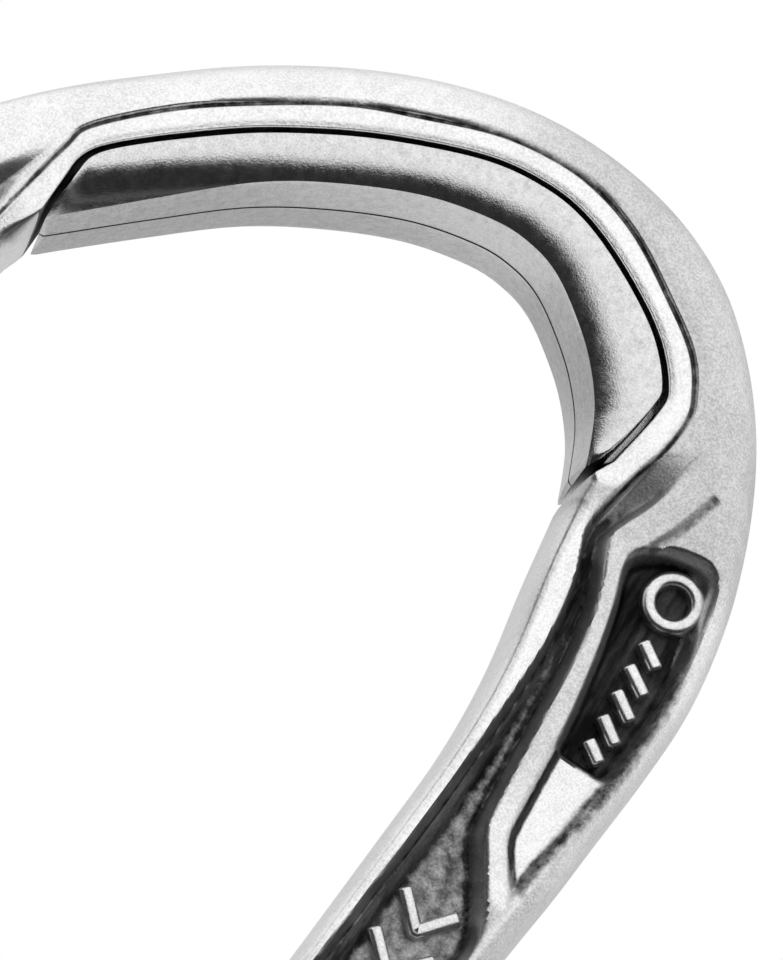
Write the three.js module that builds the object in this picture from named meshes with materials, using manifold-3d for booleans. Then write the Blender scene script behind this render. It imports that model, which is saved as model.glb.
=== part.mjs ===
// Climbing quickdraw, hanging as it is used: two carabiners joined by a sewn webbing sling.
// Millimetres, +Z up, +Y away from the front. The origin is the bearing point of the bolt-end
// carabiner, at mid thickness. Both carabiners are one forging: the rope end is the bolt end
// turned half a turn about X, so each has its spine at +X and its gate at -X.
import * as THREE from 'three';
import { mergeVertices } from 'three/addons/utils/BufferGeometryUtils.js';
import Module from 'manifold-3d';

const wasm = await Module();
wasm.setup();

// ---- driving dimensions ----------------------------------------------------------------------
const gap = 0.3; // clearance between touching pieces
const past = 1; // how far a cut runs past the face it leaves by
const farPast = 8; // reach of a cut that runs right through a piece and out at both sides
const halfThickness = 5.5; // of the forging
const bodyBevel = 1.8;
const eyeCentre = new THREE.Vector2(0, -71); // centre of the small end that holds the sling
const eyeInnerRadius = 11;
const eyeOuterRadius = 21;

const pocketFloor = 2.6; // half thickness of the web that the spine's pockets leave
const nosePocketFloor = 4.4; // the nose's pocket is a shallow valley

const insertHalfWidth = 5.9;
const insertBevel = 0.8;
const ribNeckHalfWidth = 1.6;
const ribHeadHalfWidth = 2.6;
const ribHeadStart = 1.1; // above the insert's back
const ribHeight = 2.0;
const ribRoot = -0.6; // the rib starts inside the insert
const ribFrom = 3; // first and last point of the insert's back that carries the rib
const ribTo = 21;
const seatRun = 3; // the seat is cut open below the bearing line by this much

const pivot = new THREE.Vector2(-17.3, -66.5); // gate pivot
const noseSeat = new THREE.Vector2(-30.0, -23.5); // centre of the nose's lower face
const gateHalfWidth = 4.4; // in the carabiner's plane
const gateHalfThickness = 4.7;
const gateBevel = 1.5;
const gateTopGap = 0.5;
const tongueHalfThickness = 2.1;
const tongueRadius = 4.0;
const tongueShoulder = 3.8; // half width of the tongue's root
const tongueFlat = 2.6; // height of the plunger's seat above the pivot
const forkHalfWidth = 2.5;
const forkDepth = 4.6; // above the pivot
const shoulderRadius = 4.9; // clearance round the gate's ears
const rivetRadius = 1.5;
const rivetHeadRadius = 2.4;
const rivetHeadHeight = 0.5;
const rivetHeadTaper = 0.4;

const plungerOffset = 1.4; // from the pivot towards the ring's inside
const boreRadius = 2.0;
const boreEnd = 15.5; // above the pivot
const plungerRadius = 1.6;
const plungerTop = 7.6;
const spigotRadius = 0.8;
const spigotHeight = 1.6;
const springRadius = 1.35;
const springWire = 0.22; // radius
const springTurns = 6;

const noseNeckHalfWidth = 1.6;
const noseHeadHalfWidth = 3.0;
const noseHeadDrop = 3.3; // from the nose's face to the T head
const noseLength = 6.3;
const noseInner = 2.0; // inner end of the T, from the gate's centre line
const noseClearance = 0.4;
const noseInset = 0.1; // outer end of the T, from the gate's outer side
const noseRoot = 2.0; // how far the T's neck runs up into the nose

const gateBow = 4.6; // how far the rope-end gate bends inwards
const bowStart = 7;
const bowEnd = 40;

const slingLength = 120; // over both loops
const webbing = 2.0; // thickness of one layer
const legGap = 0.35; // between the forging's face and the webbing beside it
const loopHalfWidth = 8;
const strapHalfWidth = 12.5;
const strapHalfThickness = 2.15;
const throatRadius = 28; // where a loop ends, from the eye's centre
const throatHinge = 30.5; // where the webbing bends, from the eye's centre
const strapTaper = 14;
const strapStraight = 5; // narrow part before the taper
const strapShoulder = [1.2, 3]; // rounding where the taper meets the full width

const tackHalfLength = 6;
const tackHalfHeight = 1.4;
const tackThickness = 0.6;
const tackWebHalfLength = 4.6;
const tackWebHalfHeight = 0.5;
const tackOffsets = [5.5, 12.5]; // from the end of the strap, at both ends

const keeperStart = 21.8;
const keeperEnd = 27.8;
const keeperWall = 1.6;

const labelHalfWidth = 6;
const labelHalfHeight = 8;
const labelThickness = 0.5;

const gateLine = noseSeat.clone().sub(pivot);
const gateLength = gateLine.length();
const gateTilt = Math.atan2(-gateLine.x, gateLine.y); // from vertical, towards -X
const webbingInnerRadius = eyeInnerRadius - gap;
const webbingOuterRadius = webbingInnerRadius - webbing;
const ropeEyeZ = eyeCentre.y - slingLength - 2 * webbingOuterRadius;

// ---- outlines of the forging, in its own plane (x, z) ----------------------------------------
const noseOuter = [[-34.2, -24.7], [-35.4, -19.5], [-34.5, -15.0], [-31.1, -10.0]];
const basketOuter = [
  [-28.0, -6.4], [-24.7, -3.2], [-21.0, 0.1], [-17.3, 2.8], [-13.3, 5.2], [-9.2, 7.1], [-4.7, 8.5],
  [-0.2, 9.1], [4.5, 8.85], [9.0, 7.75], [13.2, 5.6], [16.75, 2.4],
];
const spineOuter = [
  [19.6, -1.3], [21.8, -5.4], [23.5, -9.95], [24.6, -14.7], [25.1, -19.2], [24.95, -23.9], [24.55, -28.6],
  [24.15, -33.3], [23.6, -38.0], [21.6, -56],
];
const bearingLine = [
  [-24.8, -15.3], [-19.4, -10.2], [-14.9, -6.2], [-10.4, -3.3], [-5.8, -1.1], [-1.6, -0.05],
  [1.0, -0.05], [3.2, -0.7], [5.5, -2.2], [7.8, -4.2], [9.8, -6.8], [11.3, -10.2],
];
const insertBack = [
  [-24.65, -12.6], [-23.9, -10.0], [-18.3, -4.9], [-13.9, -1.8], [-9.4, 0.7], [-4.0, 2.9], [0, 3.5],
  [3.2, 3.1], [6.8, 1.6], [10.4, -0.6], [12.6, -3.0], [12.9, -4.6], [12.2, -8.8],
];
const spineInner = [
  [11.4, -11.8], [12.2, -16.8], [13.2, -23.0], [13.5, -29.0], [13.1, -36.5], [12.2, -50], [11.3, -62],
];
const hingeArm = [[-21.3, -67.6], [-12.8, -67.2]];
const noseInside = [-25.4, -17.6];
const tongueRoot = [[-20.2, -74], [-12, -74]]; // inside the small end
const channel = [
  [15.0, -6.6], [14.5, -8.6], [14.0, -10.8], [13.65, -13.1], [14.1, -14.6], [14.8, -16.6], [15.35, -20.3],
  [15.4, -24.1], [15.15, -30.9], [14.75, -36.7], [14.2, -43.0], [13.6, -50], [13.3, -60], [14.6, -66],
  [17.2, -64], [19.4, -57], [20.8, -47], [21.2, -40.4], [20.9, -38.2], [19.4, -35.5], [18.0, -33.2],
  [17.7, -31.6], [17.2, -24.8], [16.7, -19.4], [15.9, -16.2], [15.0, -14.0], [14.72, -12.9], [15.1, -11.7],
  [15.9, -9.9], [16.6, -7.6], [17.1, -5.6],
];
const outerPocket = [
  [18.6, -11.9], [17.6, -12.6], [17.0, -13.4], [17.0, -14.2], [17.6, -16.1], [18.7, -21.2], [19.2, -24.8],
  [19.6, -31.4], [20.3, -33.5], [21.7, -35.2], [22.6, -30.0], [23.2, -26.0], [23.4, -21.0], [23.0, -16.6],
  [22.3, -13.0], [21.3, -11.5], [19.9, -11.5],
];
const nosePocket = [
  [-26.4, -10.0], [-28.3, -13.3], [-29.8, -15.8], [-31.2, -18.4], [-31.4, -20.8], [-29.8, -21.2],
  [-28.2, -20.0], [-27.3, -17.2], [-26.9, -14.9], [-26.2, -11.4],
];

// ---- solids ----------------------------------------------------------------------------------
function solid(geometry) {
  geometry.deleteAttribute('normal');
  geometry.deleteAttribute('uv');
  const merged = mergeVertices(geometry, 1e-4);
  const vertProperties = new Float32Array(merged.attributes.position.array);
  const triVerts = new Uint32Array(merged.index.array);
  return new wasm.Manifold(new wasm.Mesh({ numProp: 3, vertProperties, triVerts }));
}

function geometryOf(manifold) {
  const { vertProperties, triVerts } = manifold.getMesh();
  const geometry = new THREE.BufferGeometry();
  geometry.setAttribute('position', new THREE.BufferAttribute(new Float32Array(vertProperties), 3));
  geometry.setIndex(new THREE.BufferAttribute(new Uint32Array(triVerts), 1));
  return geometry;
}

const join = (...solids) => solids.reduce((sum, next) => sum.add(next));
const cut = (from, ...tools) => tools.reduce((left, tool) => left.subtract(tool), from);

function vectors(points) {
  return points.map(([x, y]) => new THREE.Vector2(x, y));
}

function smooth(points, divisions) {
  return new THREE.SplineCurve(vectors(points)).getSpacedPoints(divisions);
}

function arc(centre, radius, fromDegrees, toDegrees, divisions) {
  const from = THREE.MathUtils.degToRad(fromDegrees);
  const to = THREE.MathUtils.degToRad(toDegrees);
  return new THREE.EllipseCurve(centre.x, centre.y, radius, radius, from, to, to < from).getPoints(divisions);
}

// Moves each point of a line sideways, to the left of its direction. Corners are mitred.
function offsetLine(points, distance, closed = false) {
  const count = points.length;
  const wrap = (i) => (i + count) % count;
  const clamp = (i) => THREE.MathUtils.clamp(i, 0, count - 1);
  const neighbour = (i) => points[closed ? wrap(i) : clamp(i)];
  return points.map((point, i) => {
    const into = point.clone().sub(neighbour(i - 1)).normalize();
    const out = neighbour(i + 1).clone().sub(point).normalize();
    const along = into.clone().add(out).normalize();
    const mitre = distance / Math.max(along.dot(into.lengthSq() > 0 ? into : out), 0.5);
    return new THREE.Vector2(point.x - along.y * mitre, point.y + along.x * mitre);
  });
}

// A plate whose outline lies in the XZ plane, from y = -halfWidth to y = halfWidth.
function plate(outline, halfWidth, bevel = 0, bevelSegments = 2) {
  const geometry = new THREE.ExtrudeGeometry(new THREE.Shape(outline), {
    depth: 2 * (halfWidth - bevel),
    bevelEnabled: bevel > 0,
    bevelThickness: bevel,
    bevelSize: bevel,
    bevelOffset: -bevel,
    bevelSegments,
    steps: 1,
  });
  geometry.translate(0, 0, -(halfWidth - bevel));
  geometry.rotateX(Math.PI / 2);
  return solid(geometry);
}

// A plate between two depths on the front or the back of the forging.
function facePlate(outline, innerDepth, outerDepth, side) {
  const middle = (side * (innerDepth + outerDepth)) / 2;
  return plate(outline, (outerDepth - innerDepth) / 2).translate([0, middle, 0]);
}

// A bar whose outline lies in the YZ plane, from x = -halfWidth to x = halfWidth.
function crossBar(outline, halfWidth) {
  return plate(outline, halfWidth).rotate([0, 0, 90]);
}

function box(low, high) {
  const size = low.map((value, i) => high[i] - value);
  const geometry = new THREE.BoxGeometry(...size);
  geometry.translate(...low.map((value, i) => value + size[i] / 2));
  return solid(geometry);
}

// A round rod along Y through a point of the XZ plane.
function crossRod(centre, radius, halfLength, segments = 24) {
  const geometry = new THREE.CylinderGeometry(radius, radius, 2 * halfLength, segments);
  geometry.translate(centre.x, 0, centre.y);
  return solid(geometry);
}

function revolve(profile, segments) {
  return solid(new THREE.LatheGeometry(profile, segments));
}

// ---- the forging and its steel insert --------------------------------------------------------
const bearingDivisions = 22;
const backDivisions = 24;
const bearing = smooth(bearingLine, bearingDivisions);
const back = smooth(insertBack, backDivisions);
const ribLine = back.slice(ribFrom, ribTo);

function ribBand(low, high, halfWidth) {
  const outline = [...offsetLine(ribLine, low), ...offsetLine(ribLine, high).reverse()];
  return plate(outline, halfWidth);
}

const insertOutline = [...bearing, ...back.slice().reverse()];

function insertSolid() {
  const shoe = plate(insertOutline, insertHalfWidth, insertBevel, 1);
  const neck = ribBand(ribRoot, ribHeight, ribNeckHalfWidth);
  const head = ribBand(ribHeadStart, ribHeight, ribHeadHalfWidth);
  return join(shoe, neck, head);
}

function insertSeat() {
  const halfWidth = halfThickness + past;
  const seat = plate(offsetLine(insertOutline, -gap, true), halfWidth);
  const under = plate([...offsetLine(bearing, -seatRun), ...offsetLine(bearing, past).reverse()], halfWidth);
  const neck = ribBand(ribRoot, ribHeight + gap, ribNeckHalfWidth + gap);
  const head = ribBand(ribHeadStart - gap, ribHeight + gap, ribHeadHalfWidth + gap);
  return join(seat, under, neck, head);
}

// Points given along and across the gate, from its pivot.
function onGate(across, along) {
  const c = Math.cos(gateTilt);
  const s = Math.sin(gateTilt);
  return new THREE.Vector2(pivot.x + across * c - along * s, pivot.y + across * s + along * c);
}

// Turns a solid that was built upright over the origin onto the gate's line.
function placeOnGate(manifold) {
  return manifold.rotate([0, -THREE.MathUtils.radToDeg(gateTilt), 0]).translate([pivot.x, 0, pivot.y]);
}

function noseTee() {
  const reach = gateHalfWidth - noseInset;
  const neck = box([-reach, -noseNeckHalfWidth, -noseLength], [noseInner, noseNeckHalfWidth, noseRoot]);
  const head = box([-reach, -noseHeadHalfWidth, -noseLength], [noseInner, noseHeadHalfWidth, -noseHeadDrop]);
  return placeOnGate(join(neck, head).translate([0, 0, gateLength]));
}

function hingeTongue() {
  const disc = crossRod(pivot, tongueRadius, tongueHalfThickness, 32);
  const shoulders = [onGate(-tongueShoulder, 0), onGate(tongueShoulder, 0)];
  const root = plate([shoulders[0], ...vectors(tongueRoot), shoulders[1]], tongueHalfThickness);
  const seatCut = placeOnGate(box([0, -farPast, tongueFlat], [farPast, farPast, farPast]));
  const hole = crossRod(pivot, rivetRadius + gap, farPast);
  return cut(join(disc, root), seatCut, hole);
}

function forgingSolid() {
  const outer = smooth([...noseOuter, ...basketOuter, ...spineOuter, [eyeOuterRadius, eyeCentre.y]], 46);
  const eyeOuter = arc(eyeCentre, eyeOuterRadius, 0, -180, 16).slice(1);
  const eyeInner = arc(eyeCentre, eyeInnerRadius, -180, 0, 14);
  const inner = smooth([[eyeInnerRadius, eyeCentre.y], ...spineInner.slice().reverse()], 14).slice(1);
  const noseFace = [onGate(gateHalfWidth, gateLength), onGate(-gateHalfWidth, gateLength)];
  const outline = [
    noseFace[1], ...outer.slice(1), ...eyeOuter, ...vectors(hingeArm), ...eyeInner, ...inner,
    ...bearing.slice().reverse(), ...vectors([noseInside]), noseFace[0],
  ];
  const blank = plate(outline, halfThickness, bodyBevel);
  const shoulder = crossRod(pivot, shoulderRadius, halfThickness + past, 32);
  const pockets = [-1, 1].flatMap((side) => [
    facePlate(vectors(channel), pocketFloor, halfThickness + past, side),
    facePlate(vectors(outerPocket), pocketFloor, halfThickness + past, side),
    facePlate(vectors(nosePocket), nosePocketFloor, halfThickness + past, side),
  ]);
  return join(cut(blank, insertSeat(), shoulder, ...pockets), hingeTongue(), noseTee());
}

// ---- the gate and its spring -----------------------------------------------------------------
function gateOutline(bow) {
  const steps = 10;
  const sideShift = (along) => {
    const t = THREE.MathUtils.clamp((along - bowStart) / (bowEnd - bowStart), 0, 1);
    return bow * Math.sin(Math.PI * t) ** 2;
  };
  const top = gateLength - gateTopGap;
  const side = (sign) => Array.from({ length: steps + 1 }, (_, i) => {
    const along = bowStart + ((bowEnd - bowStart) * i) / steps;
    return new THREE.Vector2(sign * gateHalfWidth + sideShift(along), along);
  });
  const ears = arc(new THREE.Vector2(0, 0), gateHalfWidth, 180, 360, 12);
  const crown = [new THREE.Vector2(gateHalfWidth, top), new THREE.Vector2(-gateHalfWidth, top)];
  const straight = bow === 0;
  return [...ears, ...(straight ? [] : side(1)), ...crown, ...(straight ? [] : side(-1).reverse())];
}

function gateSolid(bow) {
  const blank = plate(gateOutline(bow), gateHalfThickness, gateBevel);
  const fork = box([-farPast, -forkHalfWidth, -farPast], [farPast, forkHalfWidth, forkDepth]);
  const bore = new THREE.CylinderGeometry(boreRadius, boreRadius, boreEnd - forkDepth + past, 20);
  bore.rotateX(Math.PI / 2);
  bore.translate(plungerOffset, 0, (boreEnd + forkDepth - past) / 2);
  const rivetHole = crossRod(new THREE.Vector2(0, 0), rivetRadius + gap, farPast);
  const headBottom = gateLength - noseLength - noseClearance;
  const headTop = gateLength - noseHeadDrop + noseClearance;
  const slotEnd = noseInner + noseClearance;
  const neckSlot = noseNeckHalfWidth + noseClearance;
  const headSlot = noseHeadHalfWidth + noseClearance;
  const neck = box([-farPast, -neckSlot, headBottom], [slotEnd, neckSlot, gateLength + past]);
  const head = box([-farPast, -headSlot, headBottom], [slotEnd, headSlot, headTop]);
  return placeOnGate(cut(blank, fork, solid(bore), rivetHole, neck, head));
}

function rivetSolid() {
  const end = gateHalfThickness + gap;
  const profile = [
    [0, -end - rivetHeadHeight], [rivetHeadRadius - rivetHeadTaper, -end - rivetHeadHeight],
    [rivetHeadRadius, -end],
    [rivetRadius, -end], [rivetRadius, end], [rivetHeadRadius, end],
    [rivetHeadRadius - rivetHeadTaper, end + rivetHeadHeight], [0, end + rivetHeadHeight],
  ];
  return revolve(vectors(profile), 24).translate([pivot.x, 0, pivot.y]);
}

function plungerSolid() {
  const tip = arc(new THREE.Vector2(0, tongueFlat + gap + plungerRadius), plungerRadius, -90, 0, 6);
  const top = vectors([
    [plungerRadius, plungerTop], [spigotRadius, plungerTop], [spigotRadius, plungerTop + spigotHeight],
    [0, plungerTop + spigotHeight],
  ]);
  const upright = revolve([...tip, ...top], 20).rotate([90, 0, 0]);
  return placeOnGate(upright.translate([plungerOffset, 0, 0]));
}

class Helix extends THREE.Curve {
  getPoint(t, target = new THREE.Vector3()) {
    const low = plungerTop + springWire + gap;
    const high = boreEnd - springWire - gap;
    const angle = 2 * Math.PI * springTurns * t;
    return target.set(springRadius * Math.cos(angle), springRadius * Math.sin(angle), low + (high - low) * t);
  }
}

function springSolid() {
  const wire = new THREE.Shape(arc(new THREE.Vector2(0, 0), springWire, 0, 360, 5).slice(0, 5));
  const coil = new THREE.ExtrudeGeometry(wire, {
    extrudePath: new Helix(), steps: springTurns * 9, bevelEnabled: false,
  });
  return placeOnGate(solid(coil).translate([plungerOffset, 0, 0]));
}

// ---- the sling -------------------------------------------------------------------------------
// Profiles in (distance from the eye's centre, y). They are turned about the eye, because the
// webbing lies as a saddle on the bent bar and slides round it.
const legInner = halfThickness + legGap;
const legOuter = legInner + webbing;
const legRound = 1.1; // rounding where the webbing turns from the saddle to a leg
const saddleHalfWidth = 4.6; // flat part of the saddle
const legEnd = 20.4; // where the legs start to close, from the eye's centre
const legMeet = 26.3; // where they meet
const throatStart = 27;
const loopReach = 40; // beyond every loop

function mirrored(points) {
  return [...points, ...points.slice().reverse().map(([r, y]) => [r, -y])];
}

function loopOuterProfile(clearance) {
  const far = throatRadius + (clearance > 0 ? 2 * past : 0);
  return vectors(mirrored([
    [webbingOuterRadius - clearance, saddleHalfWidth],
    [webbingOuterRadius + legRound, legOuter - legRound + clearance],
    [webbingOuterRadius + webbing + legRound, legOuter + clearance], [legEnd, legOuter + clearance],
    [throatStart, strapHalfThickness + clearance], [far, strapHalfThickness + clearance],
  ]));
}

function loopInnerProfile() {
  return vectors([
    [webbingInnerRadius, -saddleHalfWidth], [webbingInnerRadius + legRound, -legInner], [legEnd, -legInner],
    [legMeet, 0], [legEnd, legInner], [webbingInnerRadius + legRound, legInner],
    [webbingInnerRadius, saddleHalfWidth],
  ]);
}

function ring(profile) {
  const outward = THREE.ShapeUtils.isClockWise(profile) ? profile.slice().reverse() : profile;
  return revolve([...outward, outward[0].clone()], 64);
}

// The part of a ring that hangs below the eye's centre, as wide as the webbing and a margin.
function hangingBlock(halfWidth, top) {
  return box([-halfWidth, -2 * farPast, -loopReach], [halfWidth, 2 * farPast, top]);
}

function loopSolid() {
  const band = cut(ring(loopOuterProfile(0)), ring(loopInnerProfile()));
  return band.intersect(hangingBlock(loopHalfWidth, -2 * past));
}

function keeperSolid() {
  const outside = ring(loopOuterProfile(gap + keeperWall));
  const band = cut(outside, ring(loopOuterProfile(gap)));
  const halfWidth = loopHalfWidth + gap;
  const sides = cut(outside, hangingBlock(halfWidth, 0));
  const trimmed = join(band, sides).intersect(hangingBlock(halfWidth + keeperWall, -2 * past));
  const halfDepth = 2 * farPast;
  const span = vectors([
    [keeperStart, -halfDepth], [keeperEnd, -halfDepth], [keeperEnd, halfDepth], [keeperStart, halfDepth],
  ]);
  return trimmed.intersect(ring(span));
}

const strapTop = eyeCentre.y - throatRadius - gap;
const strapBottom = ropeEyeZ + throatRadius + gap;
const strapMiddle = (strapTop + strapBottom) / 2;
const tackHeights = [
  ...tackOffsets.map((d) => strapTop - d),
  ...tackOffsets.map((d) => strapBottom + d).reverse(),
];

function strapSolid() {
  const taper = (x, z, sign) => [
    [x, z], [x, z + sign * strapStraight],
    [strapHalfWidth - strapShoulder[0], z + sign * (strapTaper - strapShoulder[1])],
    [strapHalfWidth, z + sign * strapTaper],
  ];
  const right = [
    ...taper(loopHalfWidth, strapBottom, 1), ...taper(loopHalfWidth, strapTop, -1).reverse(),
  ];
  const left = right.map(([x, z]) => [-x, z]).reverse();
  const outline = plate(vectors([...right, ...left]), farPast);
  const upperEnd = arc(new THREE.Vector2(0, eyeCentre.y - throatHinge), strapHalfThickness, 0, 180, 8);
  const lowerEnd = arc(new THREE.Vector2(0, ropeEyeZ + throatHinge), strapHalfThickness, 180, 360, 8);
  const section = crossBar([...upperEnd, ...lowerEnd], strapHalfWidth + past);
  const slots = tackHeights.map((z) => box(
    [-tackWebHalfLength - gap, -farPast, z - tackWebHalfHeight - gap],
    [tackWebHalfLength + gap, farPast, z + tackWebHalfHeight + gap],
  ));
  return cut(outline.intersect(section), ...slots);
}

function bartackSolid(z) {
  const inner = strapHalfThickness + gap;
  const outer = inner + tackThickness;
  const web = box(
    [-tackWebHalfLength, -outer, z - tackWebHalfHeight],
    [tackWebHalfLength, outer, z + tackWebHalfHeight],
  );
  const pads = [-1, 1].map((side) => box(
    [-tackHalfLength, Math.min(side * inner, side * outer), z - tackHalfHeight],
    [tackHalfLength, Math.max(side * inner, side * outer), z + tackHalfHeight],
  ));
  return join(web, ...pads);
}

function labelSolid() {
  const back = -strapHalfThickness - gap;
  return box([-labelHalfWidth, back - labelThickness, strapMiddle - labelHalfHeight],
    [labelHalfWidth, back, strapMiddle + labelHalfHeight]);
}

// ---- materials -------------------------------------------------------------------------------
const finish = (color, metalness, roughness) => (
  new THREE.MeshStandardMaterial({ color, metalness, roughness })
);
const finishes = {
  forging: () => finish(0xb9b9b9, 1, 0.38),
  insert: () => finish(0xc6c6c6, 1, 0.25),
  gate: () => finish(0xaeb0b2, 1, 0.35),
  steel: () => finish(0x9a9c9f, 1, 0.3),
  webbing: () => finish(0x2b2d31, 0, 0.9),
  thread: () => finish(0xd9d9d6, 0, 0.8),
  rubber: () => finish(0x17181a, 0, 0.7),
  label: () => finish(0xe4e2dc, 0, 0.85),
};

function piece(name, manifold, material) {
  const mesh = new THREE.Mesh(geometryOf(manifold), material());
  mesh.name = name;
  return mesh;
}

// ---- assembly --------------------------------------------------------------------------------
function carabiner(end, bow) {
  const group = new THREE.Group();
  group.add(
    piece(`${end}_carabiner_body`, forgingSolid(), finishes.forging),
    piece(`${end}_steel_insert`, insertSolid(), finishes.insert),
    piece(`${end}_gate`, gateSolid(bow), finishes.gate),
    piece(`${end}_gate_rivet`, rivetSolid(), finishes.steel),
    piece(`${end}_gate_plunger`, plungerSolid(), finishes.steel),
    piece(`${end}_gate_spring`, springSolid(), finishes.steel),
  );
  return group;
}

const quickdraw = new THREE.Group();
quickdraw.add(carabiner('bolt', 0));

const ropeEnd = carabiner('rope', gateBow);
ropeEnd.rotation.x = Math.PI;
ropeEnd.position.z = ropeEyeZ + eyeCentre.y;
quickdraw.add(ropeEnd);

const boltLoop = piece('sling_bolt_loop', loopSolid(), finishes.webbing);
boltLoop.position.z = eyeCentre.y;
quickdraw.add(boltLoop);

const ropeSide = new THREE.Group();
ropeSide.rotation.x = Math.PI;
ropeSide.position.z = ropeEyeZ;
ropeSide.add(piece('sling_rope_loop', loopSolid(), finishes.webbing));
ropeSide.add(piece('rubber_keeper', keeperSolid(), finishes.rubber));
quickdraw.add(ropeSide);

quickdraw.add(piece('sling_strap', strapSolid(), finishes.webbing));
tackHeights.forEach((z, i) => quickdraw.add(piece(`bartack_${i + 1}`, bartackSolid(z), finishes.thread)));
quickdraw.add(piece('sewn_label', labelSolid(), finishes.label));

export default quickdraw;
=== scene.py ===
import bpy
import math
import numpy as np
from mathutils import Matrix, Vector


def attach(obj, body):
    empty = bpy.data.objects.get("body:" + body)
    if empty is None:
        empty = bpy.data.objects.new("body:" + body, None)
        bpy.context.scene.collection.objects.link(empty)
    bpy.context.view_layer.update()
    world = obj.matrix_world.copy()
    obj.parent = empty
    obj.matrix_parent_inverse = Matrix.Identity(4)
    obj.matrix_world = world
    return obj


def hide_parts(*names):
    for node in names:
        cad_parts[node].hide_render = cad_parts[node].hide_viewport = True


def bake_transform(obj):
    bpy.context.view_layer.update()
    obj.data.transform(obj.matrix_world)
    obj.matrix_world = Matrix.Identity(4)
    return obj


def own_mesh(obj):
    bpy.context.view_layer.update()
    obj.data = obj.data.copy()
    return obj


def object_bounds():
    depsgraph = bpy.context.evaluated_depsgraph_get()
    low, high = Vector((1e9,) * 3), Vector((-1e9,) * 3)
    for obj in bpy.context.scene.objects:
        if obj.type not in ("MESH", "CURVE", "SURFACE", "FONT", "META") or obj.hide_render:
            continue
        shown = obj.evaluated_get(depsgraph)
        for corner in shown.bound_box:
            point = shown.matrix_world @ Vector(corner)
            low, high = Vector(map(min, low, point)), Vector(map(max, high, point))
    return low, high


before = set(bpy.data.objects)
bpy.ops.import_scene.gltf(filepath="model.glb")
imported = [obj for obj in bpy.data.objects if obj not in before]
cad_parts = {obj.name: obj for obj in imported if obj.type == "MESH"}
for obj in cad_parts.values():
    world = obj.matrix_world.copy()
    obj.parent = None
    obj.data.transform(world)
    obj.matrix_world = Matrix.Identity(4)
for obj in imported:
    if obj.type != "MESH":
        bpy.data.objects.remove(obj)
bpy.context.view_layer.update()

# Lengths below are millimetres in the carabiner's own frame (x, y, z), with the bearing point of the
# insert at the origin, the front at -y and the small end below. MM turns them into metres.
MM = 0.001

# Driving dimensions, as in the CAD.
HALF_THICKNESS = 5.5
EYE = np.array([0.0, -71.0])
EYE_INNER, EYE_OUTER = 11.0, 21.0
PIVOT = np.array([-17.3, -66.5])
NOSE_SEAT = np.array([-30.0, -23.5])
GATE_HALF_WIDTH, GATE_HALF_THICKNESS = 4.4, 4.7
GATE_TOP_GAP = 0.5
GATE_BOW = {"bolt": 0.0, "rope": 4.6}
BOW_START, BOW_END = 7, 40
SHOULDER_RADIUS = 4.9
ROPE_SEAT_Z = -279.4
SEAT_GAP = 0.34

NOSE_OUTER = [(-35.4, -19.5), (-34.5, -15.0), (-31.1, -10.0)]
BASKET_OUTER = [
    (-28.0, -6.4), (-24.7, -3.2), (-21.0, 0.1), (-17.3, 2.8), (-13.3, 5.2), (-9.2, 7.1), (-4.7, 8.5),
    (-0.2, 9.1), (4.5, 8.85), (9.0, 7.75), (13.2, 5.6), (16.75, 2.4),
]
SPINE_OUTER = [
    (19.6, -1.3), (21.8, -5.4), (23.5, -9.95), (24.6, -14.7), (25.1, -19.2), (24.95, -23.9),
    (24.55, -28.6), (24.15, -33.3), (23.6, -38.0), (21.6, -56), (21, -71),
]
BEARING_LINE = [
    (-24.8, -15.3), (-19.4, -10.2), (-14.9, -6.2), (-10.4, -3.3), (-5.8, -1.1), (-1.6, -0.05),
    (1.0, -0.05), (3.2, -0.7), (5.5, -2.2), (7.8, -4.2), (9.8, -6.8), (11.3, -10.2),
]
INSERT_BACK = [
    (-24.65, -12.6), (-23.9, -10.0), (-18.3, -4.9), (-13.9, -1.8), (-9.4, 0.7), (-4.0, 2.9), (0, 3.5),
    (3.2, 3.1), (6.8, 1.6), (10.4, -0.6), (12.6, -3.0), (12.9, -4.6), (12.2, -8.8),
]
SPINE_INNER = [
    (11.45, -11.6), (12.2, -16.8), (13.2, -23.0), (13.5, -29.0), (13.1, -36.5), (12.2, -50), (11.3, -62),
    (11, -71),
]
GROOVE_LINE = [
    (-27.9, -20.5), (-27.2, -16.85), (-26.8, -14.6), (-26.14, -11.04), (-25.5, -9.0), (-21.9, -5.2),
    (-18.0, -2.1), (-13.1, 1.2), (-8.5, 3.3), (-4.1, 5.0), (0, 5.6), (3.2, 5.3), (6.4, 4.2), (9.9, 2.1),
    (13.1, -0.2), (14.75, -2.6), (15.18, -4.3), (14.95, -6.8), (14.42, -8.6), (13.95, -10.8), (13.6, -12.6),
]
CHANNEL = [
    (15.0, -6.6), (14.5, -8.6), (14.0, -10.8), (13.65, -13.1), (14.1, -14.6), (14.8, -16.6), (15.35, -20.3),
    (15.4, -24.1), (15.15, -30.9), (14.75, -36.7), (14.2, -43.0), (13.6, -50), (13.3, -60), (14.6, -66),
    (17.2, -64), (19.4, -57), (20.8, -47), (21.2, -40.4), (20.9, -38.2), (19.4, -35.5), (18.0, -33.2),
    (17.7, -31.6), (17.45, -28.5), (17.2, -24.8), (16.7, -19.4), (15.9, -16.2), (15.0, -14.0), (14.72, -12.9),
    (15.1, -11.7), (15.9, -9.9), (16.6, -7.6), (17.1, -5.6),
]
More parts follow.
